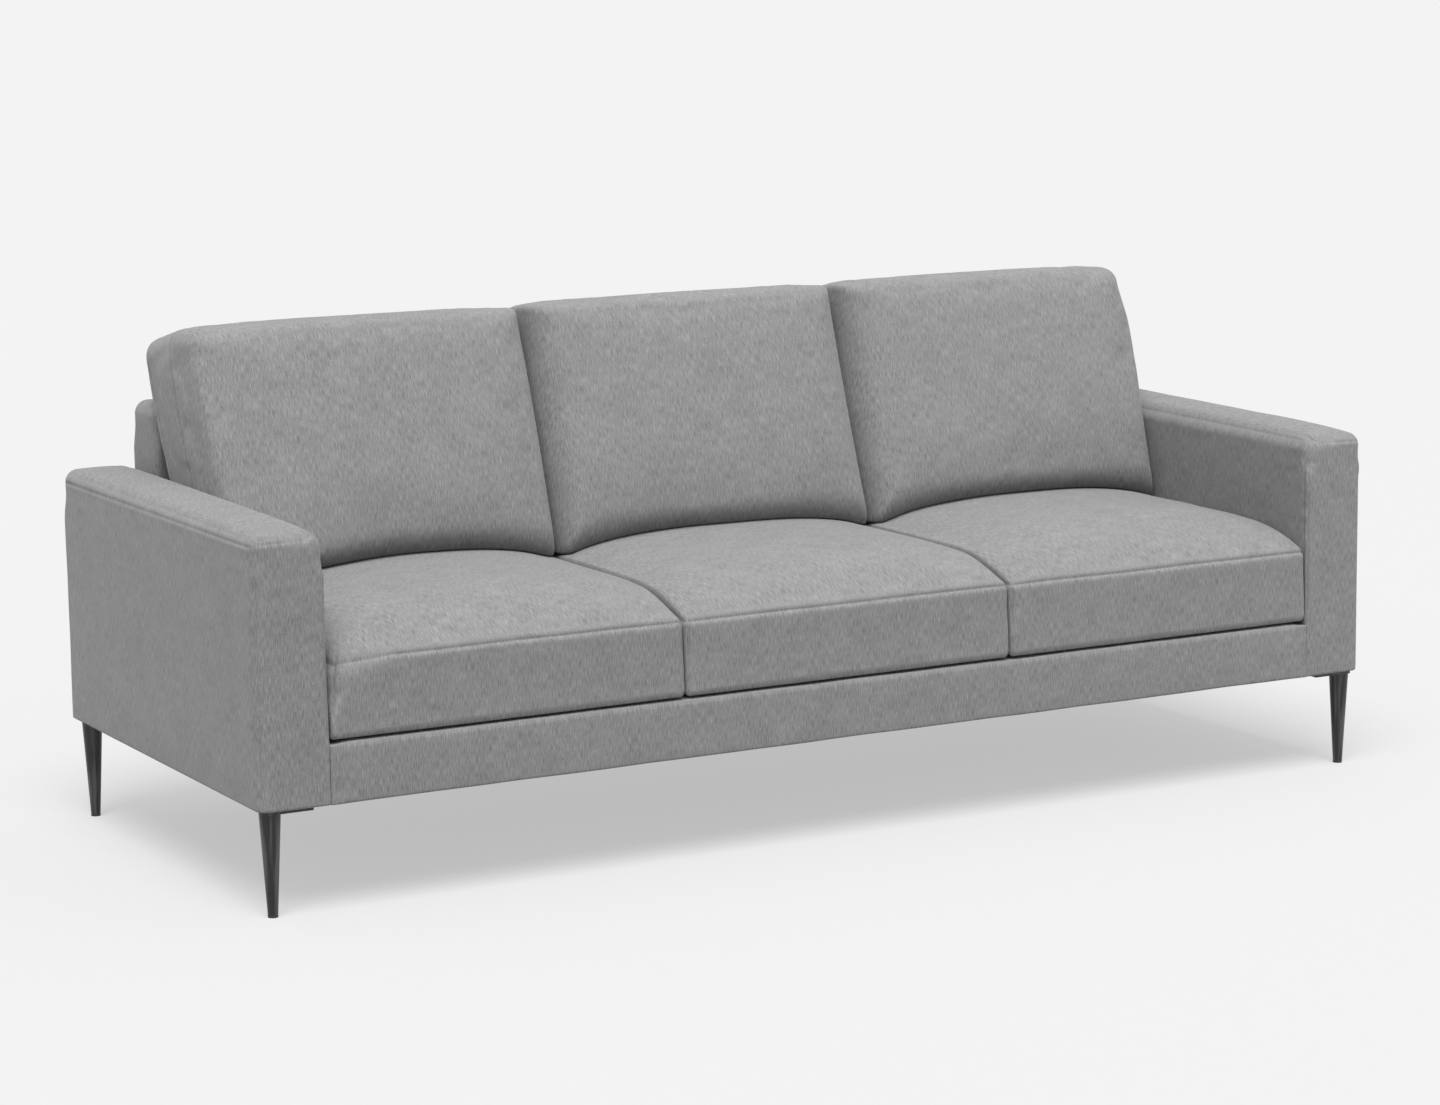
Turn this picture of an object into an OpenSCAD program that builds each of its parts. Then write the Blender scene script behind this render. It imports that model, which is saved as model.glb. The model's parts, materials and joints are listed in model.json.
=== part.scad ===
// Three-seater sofa with loose seat and back cushions, padded track arms,
// a low back frame and four slim tapered legs. Millimetres, +Z up, front towards -Y.
// The origin is on the floor, under the middle of the sofa.

/* [Overall] */
// Overall width, across the outer faces of the arms
sofa_w = 2200; // [2000:10:2400]
// Overall depth, front face to rear face
sofa_d = 890; // [880:5:940]
// Height of the frame's underside above the floor
underside = 177; // [140:1:200]

/* [Arms] */
// Width of one arm
arm_w = 124; // [110:1:150]
// Height of the arm above the frame's underside
arm_h = 451; // [420:1:480]
// Rounding of the arm's inner top edge
arm_inner_r = 26; // [16:1:30]
// Rounding of the arm's outer, front and rear top edges
arm_edge_r = 12; // [6:1:15]

/* [Seat] */
// Height of the upholstered front rail
front_rail_h = 98; // [94:1:110]
// Shadow gap between the front rail and the seat cushions
cushion_shadow_gap = 8; // [7:1:12]
// Height of the seat cushion's boxing at its front
seat_boxing_h = 127; // [110:1:140]
// Highest point of a seat cushion's crown above its underside
seat_crown_h = 202; // [190:1:215]
// Fall of the seat cushion's crown from the middle to its sides
seat_side_fall = 29; // [15:1:40]
// Depth over which the front of the seat cushion rolls over
seat_roll_d = 200; // [160:5:240]
// Depth of a seat cushion
seat_d = 758; // [720:1:760]
// Rounding of the seat cushion's corners in plan
seat_plan_r = 24; // [12:1:40]

/* [Back] */
// Height of the back frame above the frame's underside
back_frame_h = 568; // [540:1:600]
// Depth of the back frame
back_frame_d = 120; // [116:1:124]
// Lean of the back cushions from upright, in degrees
back_lean = 19.6; // [16:0.2:21]
// Thickness of a back cushion, square to its face
back_thick = 215; // [190:1:220]
// Overall height of the sofa, at the top of the back cushions
sofa_h = 897; // [870:1:920]
// Distance from the sofa's front to the foot of the back cushions
back_foot = 440; // [430:1:460]
// Rounding of the back cushion's upper corners, seen from the front
back_corner_r = 55; // [30:1:70]

/* [Legs] */
// Radius of a leg at its top
leg_top_r = 18; // [15:0.5:20]
// Radius of a leg at its tip
leg_tip_r = 8.5; // [7:0.5:12]
// Distance of a leg's axis from the two outer faces
leg_inset = 27; // [24:1:32]

/* [Hidden] */
$fn = 64;
SIDES = ["left", "right"];
SEATS = ["left", "middle", "right"];
CORNERS = ["front_left", "front_right", "rear_left", "rear_right"];

// Cloth, padding and clearances
cover_t = 2;
slip = 3;
rest_gap = 1;
arm_pad_side = 10;
arm_pad_end = 12;
arm_pad_top = 24;
rail_pad = 12;
back_pad = 14;
back_edge_r = 22;

// Arms
arm_out = sofa_w / 2;
arm_in = arm_out - arm_w;
arm_top = underside + arm_h;
front_y = -sofa_d / 2;
rear_y = sofa_d / 2;
panel_t = 6;
core_in = arm_in + cover_t + arm_pad_side;
core_out = arm_out - cover_t - arm_pad_side;
core_front = front_y + cover_t + arm_pad_end;
core_rear = rear_y - cover_t - arm_pad_end;
core_top = arm_top - cover_t - arm_pad_top;
timber_z = underside + cover_t;
arm_post_d = 45;
arm_top_rail_h = 30;
arm_bottom_rail_h = 50;
stick_in = core_in + panel_t;
stick_w = core_out - core_in - 2 * panel_t;

// Seat base
base_half = arm_in - rest_gap;
rail_t = 32;
base_top = underside + front_rail_h;
seat_z = base_top + cushion_shadow_gap;
front_rail_y = front_y + cover_t + rail_pad;
front_rail_back = front_rail_y + rail_t;
front_rail_r = 10;
rail_top_pad = 10;
timber_top = base_top - cover_t - rail_top_pad;
back_rear_step = 5;
back_rear_y = rear_y - back_rear_step;
back_y = back_rear_y - back_frame_d;
rear_rail_y = back_y - rail_t;
stretcher_h = 66;
block_leg = 70;
block_h = 60;
deck_cloth_t = 2;
spring_room = 7;
deck_z = timber_top + spring_room;
deck_pad_t = seat_z - rest_gap / 2 - deck_cloth_t - deck_z;
cloth_gap = 1;
dust_t = 1.5;

// Cushions
pitch = 2 * arm_in / 3;
cushion_w = pitch - slip;
seat_rear = front_y + seat_d;
seat_top = seat_z + seat_crown_h;
seat_roll_rise = 6;
seat_roll_drop = seat_crown_h + seat_roll_rise - seat_boxing_h;
seat_roll_r = (seat_roll_d * seat_roll_d + seat_roll_drop * seat_roll_drop) / (2 * seat_roll_drop);
seat_crown_r = (cushion_w * cushion_w / 4 + seat_side_fall * seat_side_fall) / (2 * seat_side_fall);
foot_y = front_y + back_foot;
foot_z = seat_top + 2 * rest_gap;
back_top_front_r = 30;
back_top_rear_r = 60;
back_bottom_r = 24;
back_slab_h = (sofa_h - foot_z - back_top_front_r + back_top_front_r * sin(back_lean)) / cos(back_lean)
    + back_top_front_r;
CROWN_STEPS = 8;

// Back frame
back_frame_top = underside + back_frame_h;
back_side_gap = 7;
back_half = arm_in - back_side_gap;
post_w = 60;
back_core_half = back_half - back_pad;
back_core_y = back_y + cover_t + back_pad;
back_rear_pad = 9;
back_core_rear = back_rear_y - cover_t - back_rear_pad;
back_core_top = back_frame_top - cover_t - back_pad;
webbing_t = 2.5;
webbing_w = 60;
webbing_count = 4;
back_panel_t = 4;
back_stick_y = back_core_y + webbing_t;
back_stick_d = back_core_rear - back_panel_t - back_stick_y;
back_bottom_rail_h = 80;
back_top_rail_h = 40;

// Zigzag springs
spring_count = 9;
spring_spacing = 210;
wire_half = 1.9;
spring_bars = 17;
clip_d = 8;
clip_w = 16;
clip_h = 6;
clip_slot = 2 * wire_half + 0.2;
spring_z = timber_top + spring_room / 2;
spring_from = front_rail_back + clip_d / 2;
spring_to = rear_rail_y - clip_d / 2;
spring_pitch = (spring_to - spring_from) / (spring_bars - 1);
spring_bar_l = 24;

// Legs and fasteners
glide_h = 4;
plate_t = 5;
plate_w = 88;
leg_x = arm_out - leg_inset;
leg_y = rear_y - leg_inset;
plate_edge = 7;
plate_side = 16;
stud_r = 4;
stud_l = 40;
hole_slack = 0.3;
screw_r = 2;
screw_head_r = 4.2;
screw_head_h = 2.4;
screw_l = 30;
screw_margin = 10;
bolt_r = 4;
bolt_head_r = 7.5;
bolt_head_h = 5.5;
bolt_flange_r = 11;
bolt_flange_h = 1.5;
arm_bolt_z = timber_z + arm_bottom_rail_h / 2;
arm_bolt_ys = [-300, -55, 190];
arm_bolt_reach = 115;
arm_bolt_to = base_half + arm_bolt_reach - rail_t;
back_bolt_xs = [-700, -230, 230, 700];
back_bolt_z = timber_z + back_bottom_rail_h / 2;
back_bolt_reach = 60;
back_bolt_to = back_stick_y + back_bolt_reach;

// ---- Helpers ----

// Extrudes a y-z outline along X
module along_x(from, to) {
    translate([from, 0, 0]) rotate([90, 0, 90]) linear_extrude(to - from) children();
}

// Extrudes an x-z outline along Y
module along_y(from, to) {
    translate([0, to, 0]) rotate([90, 0, 0]) linear_extrude(to - from) children();
}

// A box between two corners
module block(lo, hi) {
    translate(lo) cube(hi - lo);
}

// A rectangle whose two upper corners are rounded, each by its own radius
module top_rounded(lo, hi, r_low, r_high) {
    translate(lo) square([r_low, hi.y - lo.y - r_low]);
    translate([lo.x + r_low, lo.y]) square([hi.x - lo.x - r_low - r_high, hi.y - lo.y]);
    translate([hi.x - r_high, lo.y]) square([r_high, hi.y - lo.y - r_high]);
    translate([lo.x + r_low, hi.y - r_low]) circle(r_low);
    translate([hi.x - r_high, hi.y - r_high]) circle(r_high);
}

// A rectangle with four equal rounded corners
module rounded(lo, hi, r) {
    translate([lo.x + r, lo.y]) square([hi.x - lo.x - 2 * r, hi.y - lo.y]);
    translate([lo.x, lo.y + r]) square([hi.x - lo.x, hi.y - lo.y - 2 * r]);
    for (x = [lo.x + r, hi.x - r], y = [lo.y + r, hi.y - r]) {
        translate([x, y]) circle(r);
    }
}

// Everything on a side is drawn for the right one and mirrored for the left one
module on_side(side) {
    mirror([side == "left" ? 1 : 0, 0, 0]) children();
}

// Everything at a corner is drawn for the rear right one and mirrored for the others
module at_corner(corner) {
    left = corner == "front_left" || corner == "rear_left";
    front = corner == "front_left" || corner == "front_right";
    mirror([left ? 1 : 0, 0, 0]) mirror([0, front ? 1 : 0, 0]) children();
}

function seat_x(seat) = (seat == "left" ? -1 : seat == "right" ? 1 : 0) * pitch;

// ---- Fastener positions ----

module stud_hole() {
    translate([leg_x, leg_y, underside - plate_t - 1]) cylinder(r = stud_r + hole_slack, h = plate_t + stud_l + 2);
}

// Screw places in one plate, around the leg
function screw_places() = [
    [leg_x - plate_w + leg_inset, leg_y - screw_margin],
    [leg_x - plate_w + leg_inset, leg_y - plate_w + leg_inset],
    [leg_x, leg_y - plate_w + leg_inset]
];

module screw_holes() {
    for (p = screw_places()) {
        translate([p.x, p.y, underside - plate_t - 1]) cylinder(r = screw_r + hole_slack, h = screw_l + 4);
    }
}

// Holes that the legs and their plates need in an arm, front and rear
module leg_holes() {
    for (corner = ["front_right", "rear_right"]) {
        at_corner(corner) {
            stud_hole();
            screw_holes();
        }
    }
}

// Holes for the bolts that join an arm to the seat base
module arm_bolt_holes() {
    for (y = arm_bolt_ys) {
        translate([base_half - rail_t - 1, y, arm_bolt_z]) rotate([0, 90, 0])
            cylinder(r = bolt_r + hole_slack, h = arm_bolt_to + 2 - base_half + rail_t);
    }
}

// Holes for the bolts that join the back to the seat base
module back_bolt_holes() {
    for (x = back_bolt_xs) {
        translate([x, rear_rail_y - 1, back_bolt_z]) rotate([-90, 0, 0])
            cylinder(r = bolt_r + hole_slack, h = back_bolt_to + 2 - rear_rail_y);
    }
}

// A flanged bolt with its head at the origin, pointing along +Z
module flanged_bolt(length) {
    translate([0, 0, -bolt_flange_h - bolt_head_h]) cylinder(r = bolt_head_r, h = bolt_head_h, $fn = 6);
    translate([0, 0, -bolt_flange_h]) cylinder(r = bolt_flange_r, h = bolt_flange_h);
    cylinder(r = bolt_r, h = length);
}

// ---- Arms ----

// The arm's outer form, drawn in by an amount, with its floor at a height
module arm_form(inset, floor_z) {
    lo_x = arm_in + inset;
    hi_x = arm_out - inset;
    lo_y = front_y + inset;
    hi_y = rear_y - inset;
    edge = arm_edge_r - inset;
    intersection() {
        along_y(lo_y, hi_y) top_rounded([lo_x, floor_z], [hi_x, arm_top - inset], arm_inner_r - inset, edge);
        along_x(lo_x, hi_x) top_rounded([lo_y, floor_z], [hi_y, arm_top - inset], edge, edge);
    }
}

module arm_cover(side) {
    color("gray") on_side(side) difference() {
        arm_form(0, underside);
        arm_form(cover_t, timber_z);
        leg_holes();
        arm_bolt_holes();
    }
}

module arm_padding(side) {
    color("beige") on_side(side) difference() {
        arm_form(cover_t, timber_z);
        block([core_in, core_front, timber_z - 1], [core_out, core_rear, core_top]);
        arm_bolt_holes();
    }
}

module arm_front_post(side) {
    color("burlywood") on_side(side) difference() {
        block([stick_in, core_front, timber_z], [stick_in + stick_w, core_front + arm_post_d, core_top]);
        leg_holes();
    }
}

module arm_rear_post(side) {
    color("burlywood") on_side(side) difference() {
        block([stick_in, core_rear - arm_post_d, timber_z], [stick_in + stick_w, core_rear, core_top]);
        leg_holes();
    }
}

module arm_top_rail(side) {
    color("burlywood") on_side(side) block(
        [stick_in, core_front + arm_post_d, core_top - arm_top_rail_h],
        [stick_in + stick_w, core_rear - arm_post_d, core_top]
    );
}

module arm_bottom_rail(side) {
    color("burlywood") on_side(side) difference() {
        block(
            [stick_in, core_front + arm_post_d, timber_z],
            [stick_in + stick_w, core_rear - arm_post_d, timber_z + arm_bottom_rail_h]
        );
        leg_holes();
        arm_bolt_holes();
    }
}

module arm_outer_panel(side) {
    color("tan") on_side(side)
        block([core_out - panel_t, core_front, timber_z], [core_out, core_rear, core_top]);
}

module arm_inner_panel(side) {
    color("tan") on_side(side) difference() {
        block([core_in, core_front, timber_z], [core_in + panel_t, core_rear, core_top]);
        arm_bolt_holes();
    }
}

// ---- Seat base ----

// Section of the padded front rail, drawn in at the front and the top, back to a given y
module front_rail_section(inset, floor_z, back) {
    r = front_rail_r - inset;
    top = base_top - inset;
    translate([front_y + inset, floor_z]) square([r, top - r - floor_z]);
    translate([front_y + inset + r, floor_z]) square([back - front_y - inset - r, top - floor_z]);
    translate([front_y + inset + r, top - r]) circle(r);
}

module front_rail_cover() {
    color("gray") along_x(-base_half, base_half) difference() {
        front_rail_section(0, underside, front_rail_back);
        front_rail_section(cover_t, timber_z, front_rail_back + 1);
    }
}

module front_rail_padding() {
    color("beige") along_x(-base_half, base_half) difference() {
        front_rail_section(cover_t, timber_z, front_rail_back);
        translate([front_rail_y, timber_z - 1]) square([rail_t + 1, timber_top - timber_z + 1]);
    }
}

module seat_rail_front() {
    color("burlywood")
        block([-base_half, front_rail_y, timber_z], [base_half, front_rail_back, timber_top]);
}

module seat_rail_rear() {
    color("burlywood") difference() {
        block([-base_half, rear_rail_y, timber_z], [base_half, back_y, timber_top]);
        back_bolt_holes();
    }
}

module seat_end_rail(side) {
    color("burlywood") on_side(side) difference() {
        block([base_half - rail_t, front_rail_back, timber_z], [base_half, rear_rail_y, timber_top]);
        arm_bolt_holes();
    }
}

module seat_stretcher(side) {
    color("burlywood") on_side(side) block(
        [(pitch - rail_t) / 2, front_rail_back, timber_z],
        [(pitch + rail_t) / 2, rear_rail_y, timber_z + stretcher_h]
    );
}

module corner_blocks() {
    color("burlywood") for (side = SIDES) on_side(side) {
        for (end = [[front_rail_back, 1], [rear_rail_y, -1]]) {
            translate([base_half - rail_t, end[0], timber_z]) linear_extrude(block_h)
                polygon([[0, 0], [-block_leg, 0], [0, end[1] * block_leg]]);
        }
    }
}

// One bend of a zigzag spring in plan, joining two bars at their right-hand ends
module spring_bend() {
    difference() {
        circle(spring_pitch / 2 + wire_half);
        circle(spring_pitch / 2 - wire_half);
        translate([-spring_pitch, -spring_pitch]) square([spring_pitch, 2 * spring_pitch]);
    }
}

// A zigzag spring: straight bars across, joined by half-round bends on alternate sides
module zigzag_spring() {
    translate([0, 0, spring_z - wire_half]) linear_extrude(2 * wire_half) {
        for (i = [0 : spring_bars - 1]) {
            translate([-spring_bar_l / 2, spring_from + i * spring_pitch - wire_half])
                square([spring_bar_l, 2 * wire_half]);
        }
        for (i = [0 : spring_bars - 2]) {
            mirror([i % 2, 0]) translate([spring_bar_l / 2, spring_from + (i + 0.5) * spring_pitch])
                spring_bend();
        }
    }
}

module at_springs() {
    for (i = [0 : spring_count - 1]) {
        translate([(i - (spring_count - 1) / 2) * spring_spacing, 0, 0]) children();
    }
}

module seat_springs() {
    color("silver") at_springs() zigzag_spring();
}

module spring_clips() {
    color("silver") at_springs() for (y = [spring_from, spring_to]) difference() {
        translate([0, y, spring_z]) cube([clip_w, clip_d, clip_h], center = true);
        translate([0, y, spring_z]) cube([2 * clip_w, clip_slot, clip_slot], center = true);
    }
}

module deck_pad() {
    color("beige") block(
        [-base_half, front_rail_back + cloth_gap, deck_z],
        [base_half, back_y - cloth_gap, deck_z + deck_pad_t]
    );
}

module deck_cloth() {
    color("dimgray") block(
        [-base_half, front_rail_back + cloth_gap, deck_z + deck_pad_t],
        [base_half, back_y - cloth_gap, deck_z + deck_pad_t + deck_cloth_t]
    );
}

module dust_cover() {
    color("black") block(
        [-base_half, front_rail_back + cloth_gap, timber_z - dust_t],
        [base_half, back_y - cloth_gap, timber_z]
    );
}

// ---- Back frame ----

// The back's outer form, drawn in by an amount, with its floor at a height
module back_form(inset, floor_z) {
    edge = back_edge_r - inset;
    lo_y = back_y + inset;
    hi_y = back_rear_y - inset;
    half = back_half - inset;
    intersection() {
        along_y(lo_y, hi_y) top_rounded([-half, floor_z], [half, back_frame_top - inset], edge, edge);
        along_x(-half, half) top_rounded([lo_y, floor_z], [hi_y, back_frame_top - inset], edge, edge);
    }
}

module back_cover() {
    color("gray") difference() {
        back_form(0, underside);
        back_form(cover_t, timber_z);
        back_bolt_holes();
    }
}

module back_padding() {
    color("beige") difference() {
        back_form(cover_t, timber_z);
        block([-back_core_half, back_core_y, timber_z - 1], [back_core_half, back_core_rear, back_core_top]);
        back_bolt_holes();
    }
}

module back_post(side) {
    color("burlywood") on_side(side) block(
        [back_core_half - post_w, back_stick_y, timber_z],
        [back_core_half, back_stick_y + back_stick_d, back_core_top]
    );
}

module back_top_rail() {
    half = back_core_half - post_w;
    color("burlywood") block(
        [-half, back_stick_y, back_core_top - back_top_rail_h],
        [half, back_stick_y + back_stick_d, back_core_top]
    );
}

module back_bottom_rail() {
    half = back_core_half - post_w;
    color("burlywood") difference() {
        block(
            [-half, back_stick_y, timber_z],
            [half, back_stick_y + back_stick_d, timber_z + back_bottom_rail_h]
        );
        back_bolt_holes();
    }
}

module back_panel() {
    color("tan") block(
        [-back_core_half, back_core_rear - back_panel_t, timber_z],
        [back_core_half, back_core_rear, back_core_top]
    );
}

module back_webbing() {
    z_from = timber_z + back_bottom_rail_h + webbing_w / 2;
    z_step = (back_core_top - back_top_rail_h - z_from) / webbing_count;
    color("dimgray") for (i = [0 : webbing_count - 1]) block(
        [-back_core_half, back_core_y, z_from + i * z_step],
        [back_core_half, back_stick_y, z_from + i * z_step + webbing_w]
    );
}

// ---- Seat cushions ----

// Height of a seat cushion's crown at a distance from its middle line
function crown_z(x, inset) = seat_top - seat_crown_r + sqrt(pow(seat_crown_r - inset, 2) - x * x);

// Height of a seat cushion's rolled front at a distance ahead of the roll's back
function roll_z(d, inset) =
    seat_top + seat_roll_rise - seat_roll_r + sqrt(pow(seat_roll_r - inset, 2) - d * d);

// A seat cushion's form, drawn in by an amount: crowned across, rolled over at the front
module seat_form(inset) {
    half = cushion_w / 2 - inset;
    lo = [-half, front_y + inset, seat_z + inset];
    hi = [half, seat_rear - inset, seat_top - inset];
    roll_d = seat_roll_d - inset;
    intersection() {
        translate([0, 0, lo.z]) linear_extrude(2 * seat_crown_h) rounded(lo, hi, seat_plan_r - inset);
        along_y(lo.y - 1, hi.y + 1) polygon(concat(
            [[half + 1, lo.z - 1], [half + 1, crown_z(half, inset)]],
            [for (i = [CROWN_STEPS : -1 : -CROWN_STEPS])
                let (x = half * i / CROWN_STEPS) [x, crown_z(x, inset)]],
            [[-half - 1, crown_z(half, inset)], [-half - 1, lo.z - 1]]
        ));
        along_x(lo.x - 2, hi.x + 2) polygon(concat(
            [[hi.y + 2, lo.z - 2], [hi.y + 2, seat_top + 2 * seat_roll_rise]],
            [[lo.y + roll_d, seat_top + 2 * seat_roll_rise]],
            [for (i = [0 : CROWN_STEPS])
                let (d = roll_d * i / CROWN_STEPS) [lo.y + roll_d - d, roll_z(d, inset)]],
            [[lo.y - 1, roll_z(roll_d, inset)], [lo.y - 1, lo.z - 2]]
        ));
    }
}

module seat_cushion_cover(seat) {
    color("lightgray") translate([seat_x(seat), 0, 0]) difference() {
        seat_form(0);
        seat_form(cover_t);
    }
}

module seat_cushion_core(seat) {
    color("beige") translate([seat_x(seat), 0, 0]) seat_form(cover_t);
}

// ---- Back cushions ----

// Side section of a back cushion: a leaning slab, cut flat at its foot and fitted over the back frame
module back_cushion_section(inset) {
    difference() {
        translate([foot_y, foot_z]) rotate(-back_lean) top_rounded(
            [inset, -back_thick],
            [back_thick - inset, back_slab_h - inset],
            back_top_front_r - inset,
            back_top_rear_r - inset
        );
        translate([foot_y - sofa_d, foot_z + inset - sofa_d]) square([2 * sofa_d, sofa_d]);
        translate([back_y - slip - inset, foot_z - 1])
            square([sofa_d, back_frame_top + slip + inset - foot_z + 1]);
    }
}

module back_cushion_form(inset) {
    half = cushion_w / 2 - inset;
    intersection() {
        along_x(-half, half) back_cushion_section(inset);
        along_y(front_y, rear_y) union() {
            top_rounded(
                [-half, foot_z + back_bottom_r],
                [half, sofa_h - inset],
                back_corner_r - inset,
                back_corner_r - inset
            );
            rounded([-half, foot_z + inset], [half, sofa_h - back_corner_r], back_bottom_r - inset);
        }
    }
}

module back_cushion_cover(seat) {
    color("silver") translate([seat_x(seat), 0, 0]) difference() {
        back_cushion_form(0);
        back_cushion_form(cover_t);
    }
}

module back_cushion_core(seat) {
    color("beige") translate([seat_x(seat), 0, 0]) back_cushion_form(cover_t);
}

// ---- Legs and fasteners ----

module leg(corner) {
    top = underside - plate_t;
    color("dimgray") at_corner(corner) translate([leg_x, leg_y, 0]) {
        translate([0, 0, glide_h]) cylinder(r1 = leg_tip_r, r2 = leg_top_r, h = top - glide_h);
        translate([0, 0, top]) cylinder(r = stud_r, h = plate_t + stud_l);
    }
}

module leg_plates() {
    color("dimgray") for (corner = CORNERS) at_corner(corner) difference() {
        union() {
            block(
                [arm_out - plate_edge - plate_w, rear_y - plate_edge - plate_w, underside - plate_t],
                [arm_out - plate_side, rear_y - plate_edge, underside]
            );
            translate([leg_x, leg_y, underside - plate_t]) cylinder(r = leg_top_r, h = plate_t);
        }
        stud_hole();
        screw_holes();
        for (p = screw_places()) {
            translate([p.x, p.y, underside - plate_t]) cylinder(
                r1 = screw_head_r + hole_slack,
                r2 = screw_r + hole_slack,
                h = screw_head_h + hole_slack
            );
        }
    }
}

module leg_glides() {
    color("black") for (corner = CORNERS) at_corner(corner) {
        translate([leg_x, leg_y, 0]) cylinder(r = leg_tip_r, h = glide_h);
    }
}

module leg_screws() {
    color("silver") for (corner = CORNERS) at_corner(corner) for (p = screw_places()) {
        translate([p.x, p.y, underside - plate_t]) {
            cylinder(r1 = screw_head_r, r2 = screw_r, h = screw_head_h);
            translate([0, 0, screw_head_h]) cylinder(r = screw_r, h = screw_l - screw_head_h);
        }
    }
}

module arm_bolts() {
    color("silver") for (side = SIDES) on_side(side) for (y = arm_bolt_ys) {
        translate([base_half - rail_t, y, arm_bolt_z]) rotate([0, 90, 0])
            flanged_bolt(arm_bolt_to - base_half + rail_t);
    }
}

module back_bolts() {
    color("silver") for (x = back_bolt_xs) {
        translate([x, rear_rail_y, back_bolt_z]) rotate([-90, 0, 0])
            flanged_bolt(back_bolt_to - rear_rail_y);
    }
}

// ---- Nodes ----

for (s = SIDES) {
    arm_cover(s);
    arm_padding(s);
    arm_front_post(s);
    arm_rear_post(s);
    arm_top_rail(s);
    arm_bottom_rail(s);
    arm_outer_panel(s);
    arm_inner_panel(s);
    seat_end_rail(s);
    seat_stretcher(s);
    back_post(s);
}
for (s = SEATS) {
    seat_cushion_cover(s);
    seat_cushion_core(s);
    back_cushion_cover(s);
    back_cushion_core(s);
}
for (c = CORNERS) {
    leg(c);
}
front_rail_cover();
front_rail_padding();
seat_rail_front();
seat_rail_rear();
corner_blocks();
seat_springs();
spring_clips();
deck_pad();
deck_cloth();
dust_cover();
back_cover();
back_padding();
back_top_rail();
back_bottom_rail();
back_panel();
back_webbing();
leg_plates();
leg_glides();
leg_screws();
arm_bolts();
back_bolts();
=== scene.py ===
"""Looks of the three-seater sofa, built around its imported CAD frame. Metres, +Z up, front towards -Y."""

import json
import math

import bpy
import numpy as np
from mathutils import Matrix, Vector, noise
from mathutils.bvhtree import BVHTree

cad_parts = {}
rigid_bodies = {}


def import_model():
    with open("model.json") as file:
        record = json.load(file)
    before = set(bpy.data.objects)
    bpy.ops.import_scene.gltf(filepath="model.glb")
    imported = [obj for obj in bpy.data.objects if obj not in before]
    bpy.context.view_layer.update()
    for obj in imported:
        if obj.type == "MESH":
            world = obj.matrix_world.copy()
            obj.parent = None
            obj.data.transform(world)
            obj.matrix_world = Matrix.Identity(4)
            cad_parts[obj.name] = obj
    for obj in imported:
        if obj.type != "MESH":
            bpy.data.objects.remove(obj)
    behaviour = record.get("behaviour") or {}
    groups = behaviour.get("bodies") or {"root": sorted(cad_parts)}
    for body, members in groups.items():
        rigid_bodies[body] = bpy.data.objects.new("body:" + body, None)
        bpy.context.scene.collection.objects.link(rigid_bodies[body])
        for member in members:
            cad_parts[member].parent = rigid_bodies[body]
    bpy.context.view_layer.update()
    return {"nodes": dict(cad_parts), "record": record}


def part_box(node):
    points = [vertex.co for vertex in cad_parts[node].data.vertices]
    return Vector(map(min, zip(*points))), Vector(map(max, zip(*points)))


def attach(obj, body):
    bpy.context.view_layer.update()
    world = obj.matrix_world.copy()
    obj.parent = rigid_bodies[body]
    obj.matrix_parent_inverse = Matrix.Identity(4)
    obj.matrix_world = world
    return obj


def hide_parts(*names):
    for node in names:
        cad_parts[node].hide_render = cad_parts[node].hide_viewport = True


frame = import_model()

# ---------------------------------------------------------------- names

SIDES = {"left": -1, "right": 1}
SEATS = {"left": -1, "middle": 0, "right": 1}

# ---------------------------------------------------------------- camera, floor and light

CAMERA_LENS = 94.67
CAMERA_SENSOR = 36.0
CAMERA_PLACE = (-3.2852, -5.9552, 1.5578)
CAMERA_YAW = math.radians(28.78)
CAMERA_PITCH = math.radians(-9.339)
CAMERA_ROLL = math.radians(-0.778)
FLOOR_HALF = 40.0


def make_camera():
    """A long lens, front left of the sofa and a little above it."""
    data = bpy.data.cameras.new("camera")
    data.lens = CAMERA_LENS
    data.sensor_width = CAMERA_SENSOR
    cam = bpy.data.objects.new("camera", data)
    bpy.context.collection.objects.link(cam)
    aim = Matrix.Rotation(-CAMERA_YAW, 4, "Z") @ Matrix.Rotation(math.pi / 2 + CAMERA_PITCH, 4, "X")
    cam.matrix_world = Matrix.Translation(CAMERA_PLACE) @ aim @ Matrix.Rotation(CAMERA_ROLL, 4, "Z")
    bpy.context.scene.camera = cam


def make_floor():
    """A floor wide enough to fill the background."""
    half = FLOOR_HALF
    corners = [(-half, -half, 0), (half, -half, 0), (half, half, 0), (-half, half, 0)]
    mesh = bpy.data.meshes.new("floor")
    mesh.from_pydata(corners, [], [(0, 1, 2, 3)])
    floor = bpy.data.objects.new("floor", mesh)
    bpy.context.collection.objects.link(floor)
    mesh.materials.append(floor_material())


ROOM_LEVEL = 0.896
LAMP_LEVEL = 1.90
LAMP_SPREAD = math.radians(40)
LAMP_FROM = Vector((-0.20, -0.38, 0.91)).normalized()
LAMP_DISTANCE = 4
FILL_PLACE = Vector((3.2, -3.4, 1.3))
FILL_TARGET = Vector((1.0, -0.4, 0.35))
FILL_POWER = 20
FILL_SIZE = 2.0
FLOOR_GLOW = 0.54 * ROOM_LEVEL
FLOOR_GRAIN = 40.0
FLOOR_LEVEL = (ROOM_LEVEL - FLOOR_GLOW) / (ROOM_LEVEL + LAMP_LEVEL * LAMP_FROM.z)
FLOOR_SPECKLE = 0.002


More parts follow.
